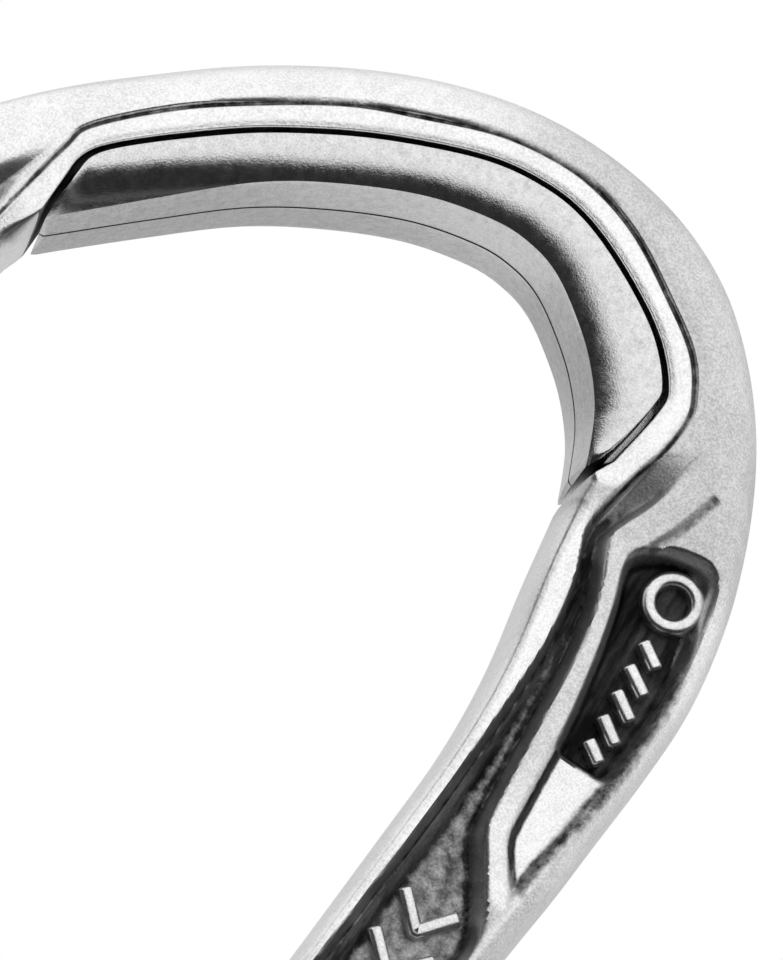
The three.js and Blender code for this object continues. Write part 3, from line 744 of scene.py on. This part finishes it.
def gate_shape(bow):
    """The gate with its fork, nose slot, spring bore and rivet hole cut out."""
    gate = mesh_object("gate_blank", place_on_gate(gate_blank(bow)))
    c, s = circle(28)
    bore = loft([points_at(BORE_ACROSS + BORE_RADIUS * c, BORE_RADIUS * s, v) for v in BORE_SPAN])
    hole = lathe([(HOLE_RADIUS, y) for y in FORK_REACH], 32)
    tools = [
        cutter("fork", FORK, FORK_REACH), cutter("nose_slot", NOSE_SLOT, NOSE_REACH),
        mesh_object("bore", place_on_gate(bore)), mesh_object("rivet_hole", hole),
    ]
    for tool in tools:
        modifier = gate.modifiers.new(tool.name, "BOOLEAN")
        modifier.object = tool
        modifier.operation = "DIFFERENCE"
        modifier.solver = "EXACT"
    done = gate.evaluated_get(bpy.context.evaluated_depsgraph_get()).to_mesh()
    vertices = np.array([v.co for v in done.vertices]) / MM
    done.calc_loop_triangles()
    faces = [np.array([t.vertices[:] for t in done.loop_triangles])]
    for thing in [gate, *tools]:
        bpy.data.objects.remove(thing)
    return vertices, faces


def rivet_shape():
    """A round pin with two domed heads, each with a turned ring."""
    end = GATE_HALF_THICKNESS + 0.3
    head = [(2.4, end), (2.4, end + 0.12), (2.25, end + 0.3), (1.8, end + 0.42), (1.4, end + 0.46),
            (1.3, end + 0.38), (1.15, end + 0.38), (1.05, end + 0.48), (0.02, end + 0.5)]
    under = [(r, -y) for r, y in head[::-1]]
    return lathe(under + [(PIN_RADIUS, -end), (PIN_RADIUS, end)] + head, 48)


def spring_shape():
    """A coil of round wire in the gate's bore."""
    turn = np.linspace(0, 2 * math.pi * SPRING_TURNS, SPRING_TURNS * 32)
    height = np.linspace(SPRING_LOW, SPRING_HIGH, len(turn))
    path = points_at(BORE_ACROSS + SPRING_RADIUS * np.cos(turn), SPRING_RADIUS * np.sin(turn), height)
    return place_on_gate(tube(path, SPRING_WIRE, 10))


# The sling.
STRAP_MIDDLE = 68.7
LAYER_HALF, LAYER_SEAT = 1.0, 1.1
LEG_Y = 6.85
LOOP_HALF_WIDTH, STRAP_HALF_WIDTH = 8.0, 12.5
# The middle of the webbing in (distance from the eye, y), from mid strap up one side to the small end.
BAND_LEG = [
    (STRAP_MIDDLE, -LAYER_SEAT), (32, -LAYER_SEAT), (28.4, -LAYER_SEAT), (26.4, -1.7), (22.6, -5.0),
    (20.4, -6.5), (18.4, -LEG_Y), (13.4, -LEG_Y), (11.3, -6.4), (10.1, -5.2), (9.72, -3.6),
]
BAND_SADDLE = 9.7
RIBS = 15
TWILL_LENGTH = 2.2
TACK_HALF_LENGTH, TACK_HALF_HEIGHT = 5.9, 1.3
TACK_ROOT, TACK_PROUD = 1.75, 2.36
STITCHES = 26
TACKS = [33.8, 40.8]
TACK_DROP = 1.0


def band_shape():
    """One half of the sling, and its weave coordinates along and across."""
    legs = BAND_LEG + [(BAND_SADDLE, 0)] + [(r, -y) for r, y in BAND_LEG[::-1]]
    path = resampled(smooth(legs, 0.55), 420)
    tangent = directions(path)
    normal = points_at(-tangent[:, 1], tangent[:, 0])
    across = np.linspace(-1, 1, 97)
    rib = (across + 1) / 2 * RIBS
    edge = (1 - np.abs(across) ** 14) ** 0.5
    rings, coordinates = [], []
    for (radius, y), n, s in zip(path, normal, line_length(path)):
        half = LOOP_HALF_WIDTH + (STRAP_HALF_WIDTH - LOOP_HALF_WIDTH) * step(radius, 31.5, 43)
        x = across * (half - 0.12)
        near_tack = np.zeros(len(x))
        for tack in TACKS:
            past_end = np.maximum(np.abs(x) - TACK_HALF_LENGTH, 0)
            past_side = max(abs(radius - tack) - TACK_HALF_HEIGHT, 0)
            near_tack = np.maximum(near_tack, fade(np.hypot(past_end, past_side), 0.2, 1.3))
        twill = 0.035 * np.sin(2 * math.pi * (s / TWILL_LENGTH + 0.5 * np.floor(rib)))
        furrow = 0.13 * (1 - np.abs(np.sin(math.pi * rib))) ** 1.5
        thinner = furrow + 0.14 * near_tack - twill
        saddle = fade(radius, 22, 30)
        ring = []
        for side in (-1, 1):
            thick = side * (LAYER_HALF - thinner) * edge
            r = radius + n[0] * thick
            bulge = saddle * (r - np.sqrt(np.maximum(r ** 2 - x ** 2, 0)))
            points = points_at(x, y + n[1] * thick, bulge - r + EYE[1])
            ring.append(points if side < 0 else points[::-1][1:-1])
        rings.append(np.concatenate(ring))
        coordinates.append(points_at(s, RIBS * np.concatenate([across, across[::-1][1:-1]])))
    return loft(rings), np.concatenate(coordinates)


def mirrored(shape):
    """The other half of the sling: the same shape the other way up."""
    vertices, faces = shape
    flipped = vertices * np.array([1, 1, -1]) + np.array([0, 0, ROPE_SEAT_Z])
    return flipped, [np.asarray(block)[:, ::-1] for block in faces]


def bartack_shape(height):
    """A dense bar of satin stitches on both faces of the strap, over two lengthwise base threads."""
    shapes = []
    for side in (-1, 1):
        deep, proud, base = side * TACK_ROOT, side * TACK_PROUD, side * (TACK_PROUD - 0.12)
        points = []
        for i in range(STITCHES + 1):
            x = -TACK_HALF_LENGTH + 2 * TACK_HALF_LENGTH * i / STITCHES
            up = 1 if i % 2 else -1
            points += [(x, deep, height + up * TACK_HALF_HEIGHT),
                       (x + 0.04, proud, height + up * (TACK_HALF_HEIGHT - 0.3)),
                       (x + 0.2, proud + side * 0.03, height),
                       (x + 0.4, proud, height - up * (TACK_HALF_HEIGHT - 0.3))]
        shapes.append(tube(curve(points[:-3], 4), 0.25, 7))
        for z in (height - 0.65, height + 0.65):
            line = [(-TACK_HALF_LENGTH - 0.2, deep, z), (-TACK_HALF_LENGTH, base, z),
                    (TACK_HALF_LENGTH + 0.3, base, z), (TACK_HALF_LENGTH + 0.5, deep, z)]
            shapes.append(tube(curve(line, 8), 0.3, 7))
    return merged(shapes)


KEEPER_START, KEEPER_END = 21.9, 27.7
KEEPER_WALL, KEEPER_CLEARANCE = 1.5, 0.3
# Half thickness of the webbing under the keeper, by distance from the eye.
KEEPER_PROFILE = ((20.4, 27.0, 28.0), (7.85, 2.15, 2.15))


def keeper_shape():
    """A moulded rubber sleeve round the webbing, with lips and three grip ridges."""
    c, s = circle(96)
    width, thickness = squared(c, 0.32), squared(s, 0.55)
    inner, outer = [], []
    for t in np.linspace(0, 1, 44):
        radius = KEEPER_START + t * (KEEPER_END - KEEPER_START)
        half = np.interp(radius, *KEEPER_PROFILE) + KEEPER_CLEARANCE
        lip = 0.45 * (1 - min(1, min(t, 1 - t) / 0.08)) ** 2
        ridge = 0.22 * max(0, math.sin(2 * math.pi * (3 * t + 0.25))) ** 2 if 0.1 < t < 0.9 else 0
        for rings, wall in ((inner, 0.0), (outer, KEEPER_WALL - lip + ridge)):
            reach = LOOP_HALF_WIDTH + KEEPER_CLEARANCE + wall
            rings.append(points_at(width * reach, thickness * (half + wall), EYE[1] - radius))
    return loft(outer + inner[::-1], closed=True)


LABEL_HALF = (6.0, 8.0)
LABEL_BACK, LABEL_FRONT = -2.12, -2.95
STITCH_INSET, STITCH_LENGTH = 0.95, 1.45


def label_shape(middle):
    """A blank cloth label with softened corners and a turned edge."""
    x = np.linspace(-1, 1, 49)
    rings = []
    for z in np.linspace(-1, 1, 65):
        reach = LABEL_HALF[0] * (1 - 0.10 * step(abs(z), 0.93, 1.0) ** 2) * x
        level = middle + LABEL_HALF[1] * z
        edge = np.maximum(np.abs(x), abs(z))
        fold = 0.05 * (step(edge, 0.74, 0.78) - step(edge, 0.82, 0.86))
        front = LABEL_FRONT + 0.22 * step(edge, 0.95, 1.0) + fold
        rings.append(np.vstack([points_at(reach, front, level), points_at(reach, LABEL_BACK, level)[::-1]]))
    return loft(rings)


def label_stitches(middle):
    """A running stitch inside the label's edge."""
    half = np.array(LABEL_HALF) - STITCH_INSET
    corners = half * [(-1, -1), (1, -1), (1, 1), (-1, 1), (-1, -1)]
    t = np.linspace(0, 1, 7)
    depth = LABEL_FRONT + 0.06 + 0.28 * np.abs(2 * t - 1) ** 4
    shapes = []
    for a, b in zip(corners[:-1], corners[1:]):
        count = int(round(np.linalg.norm(b - a) / STITCH_LENGTH))
        for i in range(count):
            line = a + np.outer((i + 0.14 + 0.72 * t) / count, b - a)
            shapes.append(tube(points_at(line[:, 0], depth, middle + line[:, 1]), 0.14, 8))
    return merged(shapes)


# Materials.
class Nodes:
    """A short way to write shader nodes."""

    def __init__(self, tree):
        self.tree = tree

    def add(self, kind, inputs=None, **settings):
        node = self.tree.nodes.new(kind)
        for key, value in settings.items():
            setattr(node, key, value)
        for key, value in (inputs or {}).items():
            self.feed(node.inputs[key], value)
        return node

    def feed(self, socket, value):
        if isinstance(value, bpy.types.NodeSocket):
            self.tree.links.new(value, socket)
        else:
            socket.default_value = value

    def spread(self, value, low, high, to_low=0.0, to_high=1.0):
        return self.add("ShaderNodeMapRange", {
            "Value": value, "From Min": low, "From Max": high, "To Min": to_low, "To Max": to_high,
        }, interpolation_type="SMOOTHSTEP").outputs["Result"]

    def maths(self, operation, a, b=0.0):
        return self.add("ShaderNodeMath", {0: a, 1: b}, operation=operation).outputs[0]

    def plus(self, a, b):
        return self.maths("ADD", a, b)

    def times(self, a, b):
        return self.maths("MULTIPLY", a, b)

    def split(self, vector):
        return self.add("ShaderNodeSeparateXYZ", {0: vector}).outputs


class Surface(Nodes):
    """A material: noises and marks on the object's own coordinates, and its principled shader."""

    def __init__(self, name):
        self.material = bpy.data.materials.new(name)
        self.material.use_nodes = True
        super().__init__(self.material.node_tree)
        self.shader = self.tree.nodes["Principled BSDF"]
        self.place = self.add("ShaderNodeTexCoord").outputs["Object"]

    def noise(self, scale, detail=3.0, rough=0.55, stretch=None):
        place = self.place
        if stretch:
            place = self.add("ShaderNodeMapping", {"Vector": place, "Scale": stretch}).outputs["Vector"]
        return self.add("ShaderNodeTexNoise", {
            "Vector": place, "Scale": scale, "Detail": detail, "Roughness": rough,
        }).outputs["Fac"]

    def attribute(self, name):
        return self.add("ShaderNodeAttribute", attribute_name=name).outputs["Fac"]

    def mix(self, share, a, b):
        node = self.add("ShaderNodeMix", data_type="RGBA")
        colours = [socket for socket in node.inputs if socket.type == "RGBA"]
        for socket, value in zip([node.inputs[0], *colours], (share, a, b)):
            self.feed(socket, value)
        return [socket for socket in node.outputs if socket.type == "RGBA"][0]

    def bump(self, height, strength, distance):
        node = self.add("ShaderNodeBump", {"Height": height, "Strength": strength, "Distance": distance})
        return node.outputs["Normal"]

    def tone(self, value):
        """A grey of a brightness that varies over the surface."""
        return self.mix(value, grey(0.0), grey(1.0))

    def set(self, **values):
        for key, value in values.items():
            self.feed(self.shader.inputs[key.replace("_", " ")], value)
        return self.material


def grey(value):
    return (value, value, value, 1.0)


def tumbled_aluminium():
    """Bright on what stands proud, blackened in the crevices by oxidation and painted shade, with a fine
    grain all over.
    """
    n = Surface("tumbled_aluminium")
    crevice_dark_and_painted_shade, polish = n.attribute("crevice_dark_and_painted_shade"), n.attribute("polish")
    grain = n.noise(6500, 2.0, 0.6)
    patches = n.noise(1100, 4.0, 0.7)
    clouds = n.noise(170, 3.0, 0.5)
    streaks = n.noise(900, 4.0, 0.65, (1.0, 1.0, 0.16))
    ragged = n.plus(crevice_dark_and_painted_shade, n.spread(patches, 0.25, 0.75, -0.2, 0.2))
    # The darkness attribute is oxidation in the crevices plus painted shade.
    oxide_and_painted_shade = n.times(n.spread(ragged, 0.12, 0.82), n.spread(streaks, 0.35, 0.72, 1.0, 0.86))
    bright = n.plus(n.spread(polish, 0.0, 1.0, 0.67, 0.93), n.spread(clouds, 0.3, 0.7, -0.04, 0.04))
    fine = n.plus(n.spread(grain, 0.3, 0.7, -0.13, 0.11), n.spread(patches, 0.25, 0.75, -0.06, 0.05))
    colour = n.mix(oxide_and_painted_shade, n.tone(n.plus(bright, fine)), grey(0.012))
    rough = n.plus(n.spread(polish, 0.0, 1.0, 0.40, 0.28), n.times(oxide_and_painted_shade, 0.2))
    height = n.plus(n.times(grain, 0.7), patches)
    return n.set(Base_Color=colour, Metallic=1.0, Roughness=rough, Normal=n.bump(height, 0.35, 0.00006))


def ground_steel():
    """A wear surface polished by use: fine pits and hair scratches."""
    n = Surface("ground_steel")
    grain = n.noise(7500, 2.0, 0.65)
    pits = n.noise(1500, 4.0, 0.7)
    scratches = n.noise(2600, 3.0, 0.6, (1.0, 0.3, 1.0))
    fine = n.plus(n.spread(grain, 0.25, 0.75, -0.1, 0.1), n.spread(pits, 0.25, 0.7, -0.12, 0.06))
    bright = n.plus(n.plus(0.74, fine), n.spread(scratches, 0.4, 0.75, 0.02, -0.06))
    height = n.plus(grain, n.times(pits, 0.8))
    rough = n.spread(pits, 0.3, 0.7, 0.17, 0.27)
    # The darkness attribute darkens the parting line and paints shade on the rib's root in the gap.
    colour = n.mix(n.attribute("crevice_dark_and_painted_shade"), n.tone(bright), grey(0.05))
    return n.set(Base_Color=colour, Metallic=1.0, Roughness=rough, Normal=n.bump(height, 0.30, 0.00005))


def satin_alloy():
    """Brushed along the gate, a little darker than the forging."""
    n = Surface("satin_alloy")
    brush = n.noise(3200, 3.0, 0.6, (1.0, 1.0, 0.06))
    clouds = n.noise(200, 3.0, 0.5)
    bright = n.plus(n.spread(brush, 0.3, 0.7, 0.56, 0.70), n.spread(clouds, 0.3, 0.7, -0.03, 0.03))
    rough = n.spread(brush, 0.3, 0.7, 0.30, 0.40)
    normal = n.bump(brush, 0.15, 0.00004)
    return n.set(Base_Color=n.tone(bright), Metallic=1.0, Roughness=rough, Normal=normal)


def pin_steel():
    """Plain turned steel for the rivets, springs and plungers."""
    n = Surface("pin_steel")
    grain = n.noise(5200, 3.0, 0.6)
    colour = n.mix(n.spread(grain, 0.3, 0.7), grey(0.52), grey(0.64))
    return n.set(Base_Color=colour, Metallic=1.0, Roughness=0.3, Normal=n.bump(grain, 0.15, 0.00003))


TRACER_RIB = 11.0


def woven_webbing():
    """Charcoal webbing: a fine twill over the woven ribs, with two pale tracer ribs near the edges."""
    n = Surface("woven_webbing")
    along, across = n.attribute("along"), n.attribute("across")
    slant = n.plus(n.times(along, 0.9), n.times(n.maths("PINGPONG", across, 2.0), 0.8))
    twill = n.maths("ABSOLUTE", n.maths("SINE", n.times(slant, math.pi)))
    fuzz = n.noise(4200, 4.0, 0.7)
    tracer = n.maths("ABSOLUTE", n.maths("SUBTRACT", n.maths("ABSOLUTE", across), TRACER_RIB))
    pale = n.spread(tracer, 0.8, 1.05, 1.0, 0.0)
    cloth = n.mix(pale, (0.030, 0.032, 0.036, 1), (0.33, 0.33, 0.32, 1))
    shade = n.times(n.spread(twill, 0.0, 0.7, 0.45, 1.0), n.spread(fuzz, 0.3, 0.7, 0.75, 1.15))
    colour = n.mix(shade, grey(0.006), cloth)
    height = n.plus(twill, n.times(fuzz, 0.5))
    return n.set(Base_Color=colour, Roughness=0.85, Sheen_Weight=0.25, Sheen_Roughness=0.5,
                 Normal=n.bump(height, 0.6, 0.00012))


def sewing_thread():
    """Light grey twisted thread."""
    n = Surface("sewing_thread")
    twist = n.noise(3800, 3.0, 0.6, (1.0, 1.0, 0.4))
    colour = n.mix(n.spread(twist, 0.35, 0.65), grey(0.50), grey(0.74))
    return n.set(Base_Color=colour, Roughness=0.6, Sheen_Weight=0.3, Normal=n.bump(twist, 0.5, 0.00008))


def moulded_rubber():
    """Black rubber with a faint bloom."""
    n = Surface("moulded_rubber")
    bloom = n.noise(260, 4.0, 0.6)
    colour = n.mix(n.spread(bloom, 0.35, 0.7), grey(0.018), grey(0.040))
    rough = n.spread(bloom, 0.3, 0.7, 0.48, 0.65)
    return n.set(Base_Color=colour, Roughness=rough, Normal=n.bump(n.noise(3600, 3.0, 0.6), 0.3, 0.00005))


def label_cloth():
    """Off-white cloth in a fine plain weave."""
    n = Surface("label_cloth")
    place = n.split(n.place)
    weft, warp = (n.maths("SINE", n.times(place[axis], 15000.0)) for axis in "XZ")
    colour = n.mix(n.spread(n.noise(400), 0.3, 0.7), (0.62, 0.61, 0.58, 1), (0.72, 0.71, 0.68, 1))
    return n.set(Base_Color=colour, Roughness=0.9, Sheen_Weight=0.2,
                 Normal=n.bump(n.times(weft, warp), 0.4, 0.00005))


def floor_paint():
    """Matt pale grey."""
    n = Surface("floor_paint")
    return n.set(Base_Color=n.mix(n.noise(0.8), grey(0.852), grey(0.842)), Roughness=0.9)


# Camera, light and floor.
CAMERA_AT = Vector((2.0, -474.0, -158.6)) * MM
CAMERA_TARGET = Vector((1.838, 0.0, -16.03)) * MM
CAMERA_ROLL = math.radians(33)
LENS, SENSOR = 299.76, 36.0
OPENING_DIRECTION = (0.06, -0.95, 0.31)
FLOOR_BELOW, FLOOR_RADIUS = 0.02, 5.0


def add_camera():
    """A camera at the photograph's viewing angle, rolled about its own axis."""
    data = bpy.data.cameras.new("camera")
    camera = bpy.data.objects.new("camera", data)
    bpy.context.scene.collection.objects.link(camera)
    data.sensor_width = SENSOR
    data.lens = LENS
    data.clip_start = 0.01
    upright = (CAMERA_TARGET - CAMERA_AT).to_track_quat("-Z", "Y").to_matrix().to_4x4()
    camera.matrix_world = Matrix.Translation(CAMERA_AT) @ upright @ Matrix.Rotation(CAMERA_ROLL, 4, "Z")
    bpy.context.scene.camera = camera


def add_world():
    """A light tent: a bright opening in front, bright above and behind, dark below the front."""
    world = bpy.data.worlds.new("light_tent")
    bpy.context.scene.world = world
    world.use_nodes = True
    n = Nodes(world.node_tree)
    direction = n.add("ShaderNodeTexCoord").outputs["Generated"]
    place = n.split(direction)
    facing = n.add("ShaderNodeVectorMath", {0: direction, 1: OPENING_DIRECTION}, operation="DOT_PRODUCT")
    front = n.spread(facing.outputs["Value"], 0.80, 0.945, 0.0, 1.05)
    behind = n.times(n.spread(place["Y"], 0.45, 0.85), n.spread(place["Z"], -0.37, -0.20, 0.80, 0.46))
    above = n.times(n.spread(place["Z"], 0.0, 0.18, 0.03, 1.0), n.spread(place["Y"], 0.3, 0.9, 1.0, 0.68))
    light = n.maths("MAXIMUM", front, n.maths("MAXIMUM", behind, above))
    seen = n.add("ShaderNodeLightPath").outputs["Is Camera Ray"]
    background = n.tree.nodes["Background"]
    n.feed(background.inputs["Color"], (1, 1, 1, 1))
    n.feed(background.inputs["Strength"], n.maths("MAXIMUM", light, seen))


def add_floor():
    """A pale round floor a little below the quickdraw."""
    low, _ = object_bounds()
    bpy.ops.mesh.primitive_circle_add(vertices=256, radius=FLOOR_RADIUS, fill_type="NGON",
                                      location=(0, 0, low[2] - FLOOR_BELOW))
    floor = bpy.context.object
    floor.name = "floor"
    floor.data.materials.append(floor_paint())
    floor.visible_glossy = False


# The scene.
add_camera()
add_world()
aluminium, steel, alloy, pin = tumbled_aluminium(), ground_steel(), satin_alloy(), pin_steel()
webbing, thread, rubber, cloth = woven_webbing(), sewing_thread(), moulded_rubber(), label_cloth()

# The forging's darkness carries oxidation in its crevices and painted shade.
forging, finish_and_shade = forging_shape()
marks, rivet, spring = raised_marks(), rivet_shape(), spring_shape()
shiny = {"crevice_dark_and_painted_shade": np.zeros(len(marks[0])), "polish": np.full(len(marks[0]), 0.7)}
# The insert's darkness: its parting line, and painted shade on its rib's root in the gap.
insert, parting = insert_shape()
for end in ("bolt", "rope"):
    fixed, moving = f"{end}_frame", f"{end}_gate"
    body = [f"{end}_carabiner_body"]
    add(f"{end}_forging", to_world(forging, end), fixed, body, "forging", aluminium,
        attributes=finish_and_shade, sharp=50)
    add(f"{end}_raised_marks", to_world(marks, end), fixed, body, "forging", aluminium, attributes=shiny)
    add(f"{end}_insert_shoe", to_world(insert, end), fixed, [f"{end}_steel_insert"], "insert", steel,
        attributes=parting, sharp=40)
    add(f"{end}_rivet", to_world(rivet, end), fixed, [f"{end}_gate_rivet"], "pin_steel", pin, sharp=40)
    gate = gate_shape(GATE_BOW[end])
    add(f"{end}_gate_bar", to_world(gate, end), moving, [f"{end}_gate"], "gate_alloy", alloy, sharp=35)
    coil = add(f"{end}_spring", to_world(spring, end), moving, [f"{end}_gate_spring"], "pin_steel", pin)
    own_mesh(coil)
    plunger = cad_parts[f"{end}_gate_plunger"]
    plunger.data.materials.clear()
    plunger.data.materials.append(pin)

band, weave = band_shape()
woven = {"attributes": {"along": weave[:, 0], "across": weave[:, 1]}, "sharp": 60}
upper = add("sling_upper", band, None, ["sling_bolt_loop", "sling_strap"], "webbing", webbing, **woven)
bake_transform(upper)
lower = add("sling_lower", mirrored(band), None, ["sling_rope_loop", "sling_strap"], "webbing", webbing,
            **woven)
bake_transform(lower)
tack_heights = [EYE[1] - t - TACK_DROP for t in TACKS]
tack_heights += [ROPE_SEAT_Z - z for z in tack_heights[::-1]]
for i, height in enumerate(tack_heights):
    add(f"bartack_stitching_{i + 1}", bartack_shape(height), "strap", [f"bartack_{i + 1}"], "thread", thread)
keeper = to_world(keeper_shape(), "rope")
add("keeper_sleeve", keeper, "rope_loop", ["rubber_keeper"], "keeper_rubber", rubber)
middle = ROPE_SEAT_Z / 2
add("label_patch", label_shape(middle), "strap", ["sewn_label"], "label_cloth", cloth, sharp=40)
add("label_border", label_stitches(middle), "strap", ["sewn_label"], "thread", thread)

bpy.context.scene.view_settings.view_transform = "Standard"
add_floor()
